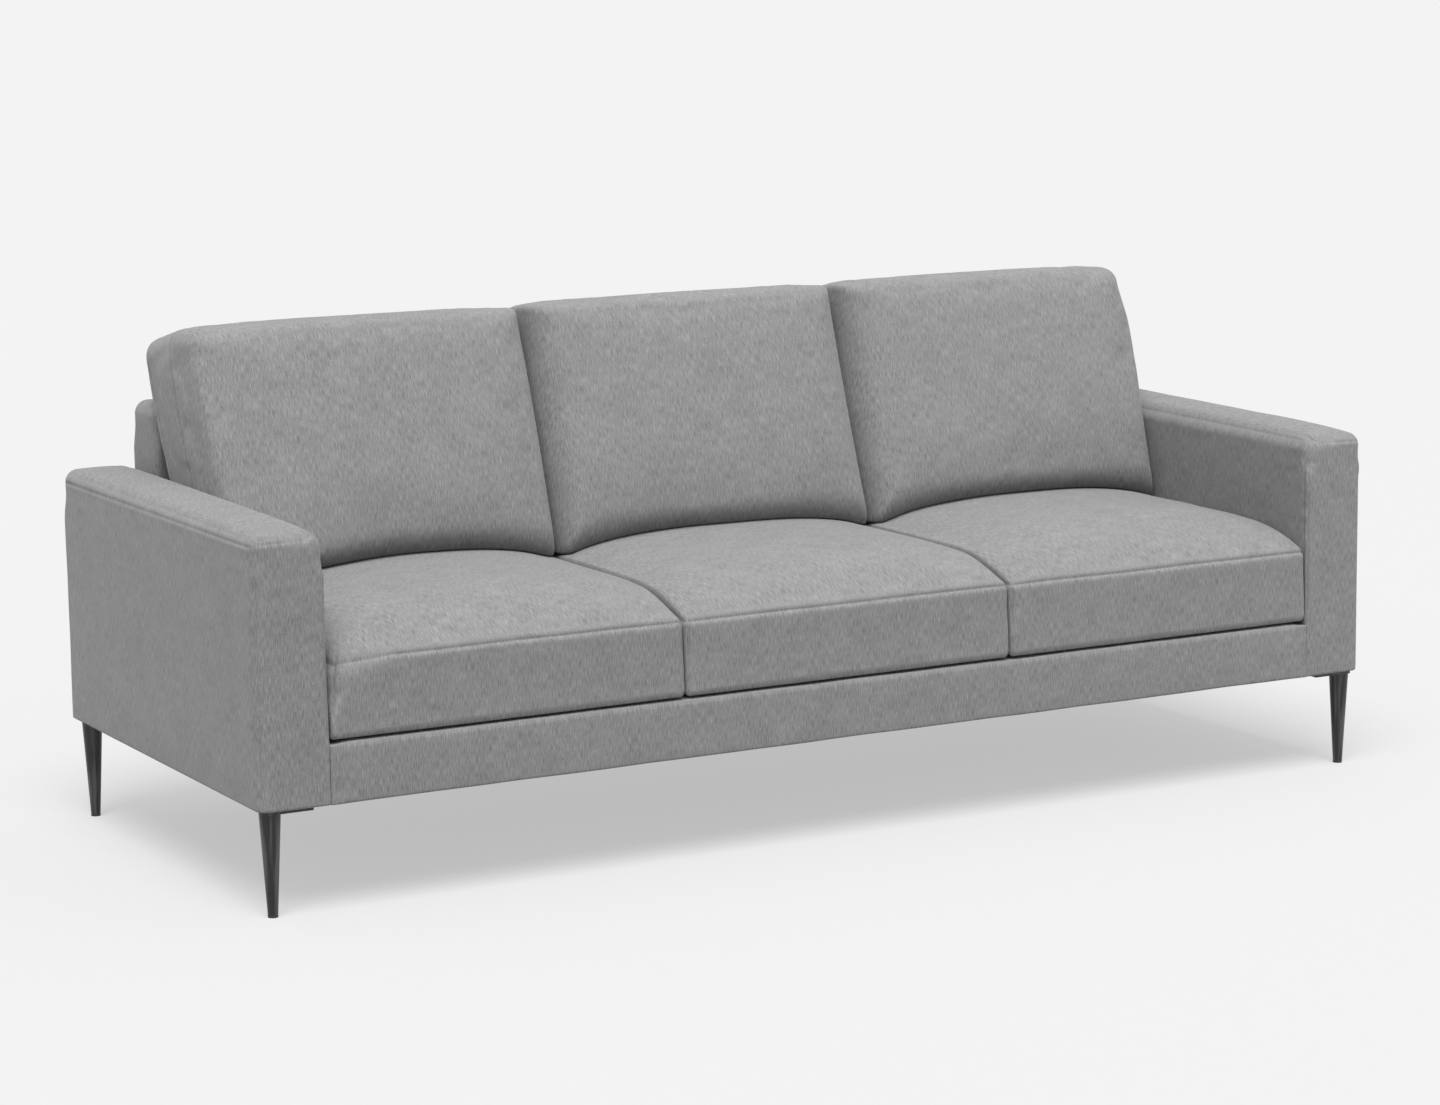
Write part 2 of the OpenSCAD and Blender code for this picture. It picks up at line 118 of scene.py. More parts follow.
def add_light(name, kind, place, target, energy):
    """A light at a place, pointed at its target."""
    data = bpy.data.lights.new(name, kind)
    data.energy = energy
    light = bpy.data.objects.new(name, data)
    light.location = place
    light.rotation_euler = (target - place).to_track_quat("-Z", "Y").to_euler()
    bpy.context.collection.objects.link(light)
    return data


def make_light():
    """A pale room, a very soft lamp high on the front left and a weak fill on the front right."""
    world = bpy.data.worlds.new("studio")
    world.use_nodes = True
    background = world.node_tree.nodes["Background"]
    background.inputs["Color"].default_value = (1.0, 1.0, 1.0, 1.0)
    background.inputs["Strength"].default_value = ROOM_LEVEL
    bpy.context.scene.world = world
    centre = Vector((0, 0, 0))
    place = LAMP_FROM * LAMP_DISTANCE
    add_light("overhead", "SUN", place, centre, LAMP_LEVEL * math.pi).angle = LAMP_SPREAD
    add_light("fill", "AREA", FILL_PLACE, FILL_TARGET, FILL_POWER).size = FILL_SIZE
    view = bpy.context.scene.view_settings
    view.view_transform = "Standard"
    view.look = "None"


# ---------------------------------------------------------------- materials


class Nodes:
    """A small helper for wiring a material's nodes."""

    def __init__(self, name):
        self.material = bpy.data.materials.new(name)
        self.material.use_nodes = True
        self.tree = self.material.node_tree
        self.shader = self.tree.nodes["Principled BSDF"]

    def add(self, kind, settings=None, **inputs):
        node = self.tree.nodes.new(kind)
        for key, value in (settings or {}).items():
            setattr(node, key, value)
        for key, value in inputs.items():
            self.put(node.inputs[key.replace("_", " ")], value)
        return node

    def put(self, socket, value):
        if isinstance(value, bpy.types.NodeSocket):
            self.tree.links.new(value, socket)
        else:
            socket.default_value = value

    def math(self, operation, *values):
        node = self.tree.nodes.new("ShaderNodeMath")
        node.operation = operation
        for socket, value in zip(node.inputs, values):
            self.put(socket, value)
        return node.outputs[0]

    def choose(self, flag, yes, no):
        """yes where flag is 1 and no where it is 0."""
        other = self.math("MULTIPLY", self.math("SUBTRACT", 1.0, flag), no)
        return self.math("ADD", self.math("MULTIPLY", flag, yes), other)

    def place(self):
        """The object's own coordinates."""
        return self.add("ShaderNodeTexCoord").outputs["Object"]

    def ramp(self, value, *stops):
        """A colour ramp: each stop is a place and a grey level or a colour."""
        node = self.tree.nodes.new("ShaderNodeValToRGB")
        elements = node.color_ramp.elements
        while len(elements) < len(stops):
            elements.new(0.5)
        for element, (place, colour) in zip(elements, stops):
            element.position = place
            element.color = colour if isinstance(colour, tuple) else (colour, colour, colour, 1)
        self.put(node.inputs["Fac"], value)
        return node.outputs["Color"]

    def noise(self, vector, scale, detail=2.0, rough=0.5):
        node = self.add("ShaderNodeTexNoise", Vector=vector, Scale=scale, Detail=detail, Roughness=rough)
        return node.outputs["Fac"]

    def bump(self, height, strength, distance, normal=None):
        node = self.add("ShaderNodeBump", Height=height, Strength=strength, Distance=distance)
        if normal is not None:
            self.put(node.inputs["Normal"], normal)
        return node.outputs["Normal"]


def floor_material():
    """Pale paper that glows a little, so shadows stay light as on a lit studio table."""
    n = Nodes("floor_paper")
    speckle = n.noise(n.place(), FLOOR_GRAIN)
    paper = n.ramp(speckle, (0.3, FLOOR_LEVEL - FLOOR_SPECKLE), (0.7, FLOOR_LEVEL + FLOOR_SPECKLE))
    n.put(n.shader.inputs["Base Color"], paper)
    n.shader.inputs["Roughness"].default_value = 1.0
    n.shader.inputs["Specular IOR Level"].default_value = 0.0
    n.shader.inputs["Emission Color"].default_value = (1.0, 1.0, 1.0, 1.0)
    n.shader.inputs["Emission Strength"].default_value = FLOOR_GLOW
    return n.material


def cloth_plane(n):
    """The two coordinates of the cloth's own plane, chosen by which way the surface faces."""
    x, y, z = n.add("ShaderNodeSeparateXYZ", Vector=n.place()).outputs
    normal = n.add("ShaderNodeNewGeometry").outputs["Normal"]
    facing = n.add("ShaderNodeSeparateXYZ", Vector=normal).outputs
    ax, ay, az = (n.math("ABSOLUTE", part) for part in facing)
    side = n.math("GREATER_THAN", ax, n.math("MAXIMUM", ay, az))
    flat = n.math("GREATER_THAN", az, n.math("MAXIMUM", ax, ay))
    return n.choose(side, y, x), n.choose(flat, y, z)


SLUB_SCALE = 590.0
SLUB_SQUEEZE = 0.11
HEATHER_SCALE = 900.0
HEATHER_SQUEEZE = 0.5
HEATHER_SHARE = 0.6
BLOTCH_SCALE = 95.0
BLOTCH_SHARE = 0.17
MOTTLE_SCALE = 22.0
MOTTLE_SHARE = 0.22
WEAVE_GAIN = 0.07
WEAVE_BUMP = 0.0003
DENT_SCALE = 30.0
DENT_BUMP = 0.003
WOVEN_ROUGHNESS = 0.84
# How far from the seam the painted shade of its groove reaches, and how dark it gets
SEAM_PAINTED_SHADE = {"From Min": 0.0004, "From Max": 0.0024, "To Min": 0.76, "To Max": 1.0}


def seam_painted_shade(n):
    """Painted shade of the seam's groove: a little darker on the seam and 1 away from it."""
    stored = n.add("ShaderNodeAttribute", {"attribute_name": "seam"}).outputs["Fac"]
    distance = n.math("ABSOLUTE", stored)
    line = n.add("ShaderNodeMapRange", {"interpolation_type": "SMOOTHSTEP"}, Value=distance)
    for socket, value in SEAM_PAINTED_SHADE.items():
        line.inputs[socket].default_value = value
    return line.outputs[0]


WOVEN_LOOKS = {
    # grey level, strength of the slubs, pitch of the weave, sheen
    "upholstery": (0.1335, 1.35, 0.0013, 0.12),
    "deck_cloth": (0.05, 1.0, 0.0018, 0.05),
}


def woven_material(name, level, slub_gain, pitch, sheen):
    """Heathered weave: warp and weft, slubs along the warp, soft mottling and painted shade along the
    seam's groove.
    """
    n = Nodes(name)
    across, along = cloth_plane(n)
    here = n.place()

    def stretched(squeeze, scale, detail):
        vector = n.add("ShaderNodeCombineXYZ", X=across, Y=n.math("MULTIPLY", along, squeeze)).outputs[0]
        return n.noise(vector, scale, detail)

    def around(value, gain):
        return n.math("MULTIPLY", n.math("SUBTRACT", value, 0.5), gain)

    slub = stretched(SLUB_SQUEEZE, SLUB_SCALE, 2.0)
    heather = stretched(HEATHER_SQUEEZE, HEATHER_SCALE, 3.0)
    warp = n.math("SINE", n.math("MULTIPLY", across, 2 * math.pi / pitch))
    weft = n.math("SINE", n.math("MULTIPLY", along, 2 * math.pi / pitch))
    weave = n.math("MULTIPLY", warp, weft)
    tone = n.math("ADD", around(slub, slub_gain), around(heather, HEATHER_SHARE * slub_gain))
    tone = n.math("ADD", tone, around(n.noise(here, BLOTCH_SCALE, 2.0), BLOTCH_SHARE * slub_gain))
    tone = n.math("ADD", tone, around(n.noise(here, MOTTLE_SCALE, 3.0), MOTTLE_SHARE * slub_gain))
    tone = n.math("ADD", tone, n.math("MULTIPLY", weave, WEAVE_GAIN))
    # The seam factor paints the shade of the seam's groove into the colour
    grey = n.math("MULTIPLY", n.math("MULTIPLY", n.math("ADD", 1.0, tone), level), seam_painted_shade(n))
    colour = n.add("ShaderNodeCombineColor", Red=grey, Green=grey, Blue=grey).outputs[0]
    n.put(n.shader.inputs["Base Color"], colour)
    n.put(n.shader.inputs["Roughness"], n.math("ADD", WOVEN_ROUGHNESS, n.math("MULTIPLY", slub, 0.1)))
    n.shader.inputs["Specular IOR Level"].default_value = 0.15
    n.shader.inputs["Sheen Weight"].default_value = sheen
    n.shader.inputs["Sheen Roughness"].default_value = 0.5
    height = n.math("ADD", n.math("MULTIPLY", weave, 0.5), n.math("ADD", slub, heather))
    soft = n.bump(n.noise(here, DENT_SCALE, 3.0), 0.2, DENT_BUMP)
    n.put(n.shader.inputs["Normal"], n.bump(height, 0.4, WEAVE_BUMP, soft))
    return n.material


GRAIN_BUMP = 0.0002
EVEN = (1, 1, 1)
ALONG_GRAIN = (1, 1, 0.12)
PLAIN_LOOKS = {
    # dark colour, light colour, scale of the grain, roughness, metallic, stretch of the grain
    "foam": ((0.7, 0.66, 0.5), (0.82, 0.79, 0.64), 900.0, 0.9, 0.0, EVEN),
    "cushion_fill": ((0.78, 0.77, 0.74), (0.88, 0.87, 0.84), 300.0, 0.95, 0.0, EVEN),
    "timber": ((0.42, 0.27, 0.13), (0.62, 0.44, 0.25), 60.0, 0.6, 0.0, ALONG_GRAIN),
    "hardboard": ((0.2, 0.12, 0.06), (0.3, 0.19, 0.1), 500.0, 0.6, 0.0, EVEN),
    "webbing": ((0.02, 0.018, 0.016), (0.05, 0.047, 0.043), 900.0, 0.9, 0.0, EVEN),
    "spring_steel": ((0.3, 0.3, 0.31), (0.45, 0.45, 0.46), 300.0, 0.35, 1.0, EVEN),
    "fasteners": ((0.5, 0.5, 0.51), (0.65, 0.65, 0.66), 600.0, 0.3, 1.0, EVEN),
    "glide_plastic": ((0.008, 0.008, 0.008), (0.016, 0.016, 0.016), 900.0, 0.6, 0.0, EVEN),
}


def plain_material(name, dark, light, scale, roughness, metallic, stretch):
    """A material that wanders between two colours, with matching roughness and bump."""
    n = Nodes(name)
    place = n.add("ShaderNodeMapping", Vector=n.place())
    place.inputs["Scale"].default_value = stretch
    grain = n.noise(place.outputs[0], scale, 5.0, 0.6)
    n.put(n.shader.inputs["Base Color"], n.ramp(grain, (0.3, dark + (1,)), (0.7, light + (1,))))
    n.put(n.shader.inputs["Roughness"], n.math("ADD", roughness - 0.05, n.math("MULTIPLY", grain, 0.1)))
    n.shader.inputs["Metallic"].default_value = metallic
    n.put(n.shader.inputs["Normal"], n.bump(grain, 0.4, GRAIN_BUMP))
    return n.material


# Lengthwise bands on the leg paint: their lighter tone is painted highlight, standing in for the legs'
# reflections
STREAK_AND_HIGHLIGHT_SCALE = 150.0
STREAK_AND_HIGHLIGHT_STRETCH = (1.0, 1.0, 0.02)
STREAK_BUMP = 0.0001
PAINT_AND_HIGHLIGHT_TONES = ((0.46, 0.003), (0.66, 0.034))
PAINT_ROUGHNESS = 0.22


def satin_paint_and_highlight(name):
    """Near-black paint on drawn steel. Lighter lengthwise bands in its colour are painted highlight, and
    the same bands vary its roughness and bump.
    """
    n = Nodes(name)
    place = n.add("ShaderNodeMapping", Vector=n.place())
    place.inputs["Scale"].default_value = STREAK_AND_HIGHLIGHT_STRETCH
    streaks_and_painted_highlight = n.noise(place.outputs[0], STREAK_AND_HIGHLIGHT_SCALE, 1.0)
    # Painted highlight: the lighter tone of the bands stands in for reflections on the legs
    n.put(n.shader.inputs["Base Color"], n.ramp(streaks_and_painted_highlight, *PAINT_AND_HIGHLIGHT_TONES))
    n.put(n.shader.inputs["Roughness"], n.math("ADD", PAINT_ROUGHNESS, n.math("MULTIPLY", streaks_and_painted_highlight, 0.1)))
    n.shader.inputs["Specular IOR Level"].default_value = 0.5
    n.put(n.shader.inputs["Normal"], n.bump(streaks_and_painted_highlight, 0.3, STREAK_BUMP))
    return n.material


def make_materials():
    """One material for each slot of the record."""
    woven = {name: woven_material(name, *look) for name, look in WOVEN_LOOKS.items()}
    plain = {name: plain_material(name, *look) for name, look in PLAIN_LOOKS.items()}
    return woven | plain | {"leg_paint": satin_paint_and_highlight("leg_paint")}


def dress_frame(materials):
    """Gives every CAD node the material of its record slot."""
    for entry in frame["record"]["subparts"]:
        node = frame["nodes"][entry["node"]]
        for holder in [node] + list(node.children_recursive):
            if holder.type == "MESH":
                holder.data.materials.clear()
                holder.data.materials.append(materials[entry["material_slot"]])


# ---------------------------------------------------------------- mesh helpers

TINY = 1e-9
SAME_PLACE = 1e-6
END_SHARE = 0.001
SEAM_BAND = 0.012
BELL_POWER = 2.6
WELT_HEIGHT = 0.2
WELT_PLACE = 2.6
WELT_WIDTH = 1.4
GATHER_REACH = 0.05
GATHER_FADE = 0.014
GATHER_SCALE = 48.0
SEED_STRIDES = (7.3, 3.1, 5.7)
FAR = 1.0


def spread(*stops):
    """Places along an axis. Each stop is a place and the spacing after it; the last is only a place."""
    places = []
    for (start, step), (end, _) in zip(stops, stops[1:]):
        count = max(1, round((end - start) / step))
        places += [start + (end - start) * i / count for i in range(count)]
    return np.array(places + [stops[-1][0]])


def graded(lo, hi, fine, coarse, near=SEAM_BAND, far=SEAM_BAND):
    """Places from lo to hi, finely spaced over the first `near` and the last `far` metres."""
    return spread((lo, fine), (lo + near, coarse), (hi - far, fine), (hi, 0))


def box_of(node):
    """The two corners of a CAD node's box."""
    return [np.array(corner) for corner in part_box(node)]


def shares(points, lo, hi):
    """Where each point lies in a box, from 0 to 1 along each axis."""
    return ((points - lo) / (hi - lo)).T


def outline(lo, hi, inset, z):
    """A closed path around a box in plan, set in from its sides."""
    x0, y0, x1, y1 = lo[0] + inset, lo[1] + inset, hi[0] - inset, hi[1] - inset
    return [(x0, y0, z), (x1, y0, z), (x1, y1, z), (x0, y1, z), (x0, y0, z)]


def box_surface(xs, ys, zs):
    """A closed grid of quads over a box, at the given places along each axis."""
    sizes = (len(xs), len(ys), len(zs))
    index, verts = {}, []

    def at(i, j, k):
        key = (i, j, k)
        if key not in index:
            index[key] = len(verts)
            verts.append((xs[i], ys[j], zs[k]))
        return index[key]

    faces = []
    for axis in range(3):
        u, v = [(1, 2), (2, 0), (0, 1)][axis]
        for end in (0, sizes[axis] - 1):
            for a in range(sizes[u] - 1):
                for b in range(sizes[v] - 1):
                    corners = []
                    for da, db in ((0, 0), (1, 0), (1, 1), (0, 1)):
                        cell = [0, 0, 0]
                        cell[axis], cell[u], cell[v] = end, a + da, b + db
                        corners.append(at(*cell))
                    faces.append(corners if end else corners[::-1])
    return np.array(verts), faces


def make_object(name, verts, faces, material):
    """A smooth-shaded mesh object with one material."""
    mesh = bpy.data.meshes.new(name)
    mesh.from_pydata([tuple(v) for v in verts], [], faces)
    mesh.materials.append(material)
    mesh.shade_smooth()
    piece = bpy.data.objects.new(name, mesh)
    bpy.context.collection.objects.link(piece)
    return piece


def smooth(t):
    """A soft step from 0 to 1."""
    t = np.clip(t, 0.0, 1.0)
    return t * t * (3 - 2 * t)


def rising(values, start, reach):
    """0 up to start, rising softly to 1 at start + reach."""
    return smooth((values - start) / reach)


def bell(t):
    """1 in the middle of -1 to 1, falling late to 0 at both ends."""
    return 1 - np.clip(np.abs(t), 0, 1) ** BELL_POWER


def plateau(t, power):
    """1 in the middle of 0 to 1, falling to 0 at both ends; the higher the power, the later."""
    return 1 - (2 * t - 1) ** power


def at_ends(t, low, high):
    """low at 0, high at 1, and 0 between."""
    return np.where(t < END_SHARE, low, 0) + np.where(t > 1 - END_SHARE, high, 0)


def round_box(verts, lo, hi, radius):
    """Pulls a box's surface points onto rounded edges; radius is one number or one per point."""
    r = np.broadcast_to(np.asarray(radius, float), (len(verts),))[:, None]
    core = np.clip(verts, lo + r, hi - r)
    out = verts - core
    length = np.linalg.norm(out, axis=1, keepdims=True)
    return core + out * np.where(length > 0, r / np.maximum(length, TINY), 0)


def round_upright(points, lo, hi, radius):
    """Rounds a box's four upright edges in plan, leaving its height alone."""
    r = np.maximum(np.broadcast_to(np.asarray(radius, float), (len(points),)), SAME_PLACE)[:, None]
    core = np.clip(points[:, :2], lo[:2] + r, hi[:2] - r)
    out = points[:, :2] - core
    length = np.maximum(np.linalg.norm(out, axis=1, keepdims=True), TINY)
    flat = core + out * np.abs(out).max(axis=1, keepdims=True) / length
    return np.column_stack([flat, points[:, 2]])


def normals_of(piece):
    """The piece's vertex normals, one row each."""
    flat = np.empty(len(piece.data.vertices) * 3)
    piece.data.vertex_normals.foreach_get("vector", flat)
    return flat.reshape(-1, 3)


def points_of(mesh):
    """The mesh's vertices, one row each."""
    flat = np.empty(len(mesh.vertices) * 3)
    mesh.vertices.foreach_get("co", flat)
    return flat.reshape(-1, 3)


def move_points(piece, points):
    """Puts the piece's vertices in new places."""
    piece.data.vertices.foreach_set("co", np.ascontiguousarray(points).ravel())
    piece.data.update()


def wander(points, scale, seed):
    """Smooth noise, one value per point, from -1 to 1."""
    shift = Vector([seed * stride for stride in SEED_STRIDES])
    return np.array([noise.noise(Vector(p) * scale + shift) for p in points])


def drift(points, amount, scale, seed, along, share=1.0):
    """The points moved by smooth noise along a direction; share says how much of it each one takes."""
    return points + (amount * wander(points, scale, seed) * share)[:, None] * np.array(along)


def distance_to_paths(points, paths):
    """Each point's distance to the nearest of several polylines."""
    best = np.full(len(points), FAR)
    for path in paths:
        path = np.asarray(path, float)
        for a, b in zip(path[:-1], path[1:]):
            ab = b - a
            t = np.clip(((points - a) @ ab) / max(ab @ ab, TINY), 0, 1)
            best = np.minimum(best, np.linalg.norm(points - a - t[:, None] * ab, axis=1))
    return best


def mark_seam(piece, distance):
    """Stores each point's distance from its seam, for the groove and the material's painted shade along
    it.
    """
    layer = piece.data.attributes.new("seam", "FLOAT", "POINT")
    layer.data.foreach_set("value", distance.astype(np.float32))


def no_seam(piece):
    """Marks a piece that shows no seam: every point is far from one."""
    mark_seam(piece, np.full(len(piece.data.vertices), FAR))


def seam_of(piece):
    """Each point's distance from its seam."""
    distance = np.empty(len(piece.data.vertices))
    piece.data.attributes["seam"].data.foreach_get("value", distance)
    return np.abs(distance)


def sew(piece, depth, width, pucker, seed):
    """Sinks a groove along the seam, with the cloth standing proud beside it and slightly gathered."""
    distance = seam_of(piece)
    points = points_of(piece.data)
    groove = -depth * np.exp(-((distance / width) ** 2))
    welt = WELT_HEIGHT * depth * np.exp(-(((distance - WELT_PLACE * width) / (WELT_WIDTH * width)) ** 2))
    near = distance < GATHER_REACH
    ripple = np.zeros(len(points))
    ripple[near] = wander(points[near], GATHER_SCALE, seed)
    gather = pucker * ripple * np.exp(-distance / GATHER_FADE)
    move_points(piece, points + normals_of(piece) * (groove + welt + gather)[:, None])


def subdivide(piece):
    """One level of subdivision, applied."""
    piece.modifiers.new("subdivide", "SUBSURF").levels = 1
    bake(piece)


def bake(piece):
    """Applies the piece's modifiers to its mesh."""
    shape = piece.evaluated_get(bpy.context.evaluated_depsgraph_get())
    mesh = bpy.data.meshes.new_from_object(shape)
    mesh.name = piece.name
    old = piece.data
    piece.modifiers.clear()
    piece.data = mesh
    bpy.data.meshes.remove(old)


# ---------------------------------------------------------------- cloth

CLOTH_FRAMES = 20
CLOTH_PRESSURE = 4.0
CLOTH_INWARD = 0.001


def inflate(pieces, cap):
    """Blows the covers up with cloth simulation, all together.

    pieces maps each piece to how freely each of its points may move, from 0 to 1. No point moves more
    than cap, or sinks in by more than CLOTH_INWARD.
    """
    scene = bpy.context.scene
    for piece in pieces:
        cloth = piece.modifiers.new("cloth", "CLOTH")
        cloth.settings.quality = 4
        cloth.settings.mass = 0.3
        cloth.settings.use_pressure = True
        cloth.settings.uniform_pressure_force = CLOTH_PRESSURE
        cloth.settings.effector_weights.gravity = 0
        cloth.settings.bending_stiffness = 2.0
        cloth.collision_settings.use_collision = False
        cloth.point_cache.frame_start = 1
        cloth.point_cache.frame_end = CLOTH_FRAMES
    for step in range(1, CLOTH_FRAMES + 1):
        scene.frame_set(step)
    graph = bpy.context.evaluated_depsgraph_get()
    for piece, give in pieces.items():
        before = points_of(piece.data)
        out = normals_of(piece)
        move = points_of(piece.evaluated_get(graph).data) - before
        along = np.einsum("ij,ij->i", move, out)
        move += out * np.maximum(-CLOTH_INWARD - along, 0)[:, None]
        length = np.linalg.norm(move, axis=1, keepdims=True)
        move *= give[:, None] * cap * np.tanh(length / cap) / np.maximum(length, TINY)
        piece.modifiers.clear()
        move_points(piece, before + move)
    scene.frame_set(1)


# ---------------------------------------------------------------- arms

ARM_EDGE = 0.020
ARM_INNER_EDGE = 0.026
ARM_UPRIGHT_EDGE = 0.010
ARM_FRONT_EDGE = {"left": 0.021, "right": 0.017}
ARM_REAR_EDGE = 0.005
ARM_HEM_EDGE = 0.004
ARM_BAND = 0.03
ARM_INNER_BAND = 0.032
ARM_HEM_BAND = 0.014
ARM_INNER_FADE = 0.06
TOP_EDGE_START = 0.09
TOP_EDGE_FADE = 0.05
ARM_FINE = 0.002
ARM_COARSE = 0.012
ARM_LIFT = {"left": -0.003, "right": 0.001}
ARM_CROWN = {"left": 0.009, "right": 0.013}
ARM_RISE = {"left": 0.006, "right": 0.013}
ARM_CROWN_POWER = 0.8
ARM_PUFF = 0.003
ARM_FRONT_PUFF = 0.002
ARM_DRIFT = 0.0008
ARM_SEAM_DROP = 0.021
ARM_SEAM_DIP = 0.0035
ARM_INNER_SEAM = 0.017
ARM_SEAM_END = 0.02
ARM_SEAM_INSET = 0.016
ARM_SEAM_TURN = 0.006
ARM_SEAM_CLIMB = 0.004
ARM_SEAM_SLOPE = 0.002
ARM_SIDE_SEAM = 0.011
ARM_SIDE_SEAM_BEND = 0.03
ARM_SIDE_SEAM_TURN = (0.008, 0.012)
RAIL_EDGE = 0.0008
RAIL_SHARP_REACH = 0.02
DRIFT_SCALE = 9.0


def finish_piece(piece, body, *nodes, slot="upholstery"):
    """Hangs the piece on the body that carries it and hides the CAD nodes it stands for. slot, what it is
    made of, is not used.
    """
    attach(piece, body)
    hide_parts(*nodes)


def round_arm(side, flat, lo, hi, near_top, rail_top):
    """Rounds the arm's edges: wide along the top, narrow at the hem and sharp beside the front rail."""
    near_inner = 1 - rising(flat[:, 0], lo[0] + ARM_BAND, ARM_INNER_FADE)
    top_edge = ARM_EDGE + (ARM_INNER_EDGE - ARM_EDGE) * near_inner
    points = round_box(flat, lo, hi, ARM_HEM_EDGE + (top_edge - ARM_HEM_EDGE) * near_top)
    upright = np.full(len(flat), ARM_UPRIGHT_EDGE)
    upright[flat[:, 1] > hi[1] - ARM_BAND] = ARM_REAR_EDGE
    upright[(flat[:, 0] > hi[0] - ARM_BAND) & (flat[:, 1] < lo[1] + ARM_BAND)] = ARM_FRONT_EDGE[side]
    beside_rail = (1 - rising(flat[:, 2], rail_top, RAIL_SHARP_REACH)) * (flat[:, 0] < lo[0] + ARM_BAND)
    upright += (RAIL_EDGE - upright) * beside_rail
    return round_upright(points, lo, hi, upright * (1 - near_top))


def puff_arm(side, points, flat, lo, hi, near_top):
    """Crowns the arm's top panel and swells its side, front and rear panels a little."""
    u, v, w = shares(flat, lo, hi)
    crown = np.sin(np.pi * u) ** ARM_CROWN_POWER * plateau(v, 8)
    points[:, 2] += near_top * (ARM_CROWN[side] * crown + ARM_RISE[side] * (v - 0.5) + ARM_LIFT[side])
    points[:, 0] += at_ends(u, -ARM_PUFF, ARM_PUFF) * plateau(v, 6) * plateau(w, 6)
    points[:, 1] += at_ends(v, -ARM_FRONT_PUFF, ARM_PUFF) * plateau(u, 4) * plateau(w, 6)


def arm_seams(lo, hi, rail_top):
    """Seams under the outer top edge, along the inner top edge and up the inner panel's front edge."""
    seam_z = hi[2] - ARM_SEAM_DROP
    inner_x = lo[0] + ARM_INNER_SEAM
    top_z = hi[2] - ARM_SEAM_DIP
    across, below = ARM_SIDE_SEAM_TURN
    meeting = (inner_x, lo[1] + ARM_SEAM_INSET, top_z - ARM_SEAM_CLIMB)
    side_y = lo[1] + ARM_SIDE_SEAM
    outer = [
        (hi[0], hi[1] - ARM_SEAM_END, seam_z),
        (hi[0], lo[1] + ARM_SEAM_TURN, seam_z),
        (hi[0] - ARM_SEAM_TURN, lo[1], seam_z + ARM_SEAM_CLIMB),
        (inner_x + across, lo[1] + ARM_SEAM_SLOPE, seam_z + ARM_SEAM_TURN),
        meeting,
    ]
    top = [
        (inner_x, lo[1] + ARM_SEAM_END, top_z - ARM_SEAM_SLOPE),
        (inner_x, hi[1] - ARM_SEAM_END, top_z + ARM_SEAM_SLOPE),
    ]
    inner = [
        (lo[0], side_y, rail_top + RAIL_SHARP_REACH),
        (lo[0], side_y, hi[2] - ARM_SIDE_SEAM_BEND),
        (lo[0] + across, side_y + ARM_SEAM_SLOPE, hi[2] - below),
        meeting,
    ]
    return [outer, top, inner]


def make_arm(side, materials):
    """One arm's cover: flat padded sides, a crowned top panel and seams where the panels meet."""
    sign = SIDES[side]
    lo, hi = box_of(f"arm_cover_{side}")
    if sign < 0:
        lo[0], hi[0] = -hi[0], -lo[0]
    rail_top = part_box("front_rail_cover")[1][2]
    flat, faces = box_surface(
        graded(lo[0], hi[0], ARM_FINE, ARM_COARSE / 2, ARM_INNER_BAND, ARM_BAND),
        graded(lo[1], hi[1], ARM_FINE, ARM_COARSE, ARM_BAND, ARM_BAND),
        graded(lo[2], hi[2], ARM_FINE, ARM_COARSE, ARM_HEM_BAND, TOP_EDGE_FADE),
    )
    near_top = rising(flat[:, 2], hi[2] - TOP_EDGE_START, TOP_EDGE_FADE)
    points = round_arm(side, flat, lo, hi, near_top, rail_top)
    puff_arm(side, points, flat, lo, hi, near_top)
    points = drift(points, ARM_DRIFT, DRIFT_SCALE, 2 + sign, (1.0, 1.0, 0.6))
    distance = distance_to_paths(points, arm_seams(lo, hi, rail_top))
    points[:, 0] *= sign
    if sign < 0:
        faces = [face[::-1] for face in faces]
    piece = make_object(f"arm_upholstery_{side}", points, faces, materials["upholstery"])
    mark_seam(piece, distance)
    sew(piece, depth=0.0015, width=0.0026, pucker=0.0006, seed=5 + sign)
    finish_piece(piece, "frame", f"arm_cover_{side}", f"arm_padding_{side}")


# ---------------------------------------------------------------- front rail, back frame and deck

FRAME_FINE = 0.003
RAIL_GAP = 0.0001
RAIL_FRONT_BAND = 0.016
RAIL_COARSE = 0.006
RAIL_TOP_EDGE = 0.005
RAIL_CROWN = 0.003
RAIL_PUFF = 0.001
RAIL_END_FLAT = 0.002
RAIL_FADE = 0.03
RAIL_DRIFT = 0.0006
BACK_FRAME_HEM_EDGE = 0.010
BACK_FRAME_TOP_EDGE = 0.024
BACK_FRAME_PUFF = 0.003
BACK_FRAME_DRIFT = 0.0008
BACK_FRAME_DRIFT_SCALE = 6.0
BACK_FRAME_SEAM = 0.012
BACK_FRAME_BAND = 0.03
DECK_EDGE = 0.004
DECK_COARSE = 0.013
DECK_WAVES = 13
DECK_DIP = 0.0022
DECK_HEM = 0.03
DUST_GRID = 0.02
DUST_SAG = 0.004
DUST_DRIFT_SCALE = 6.0


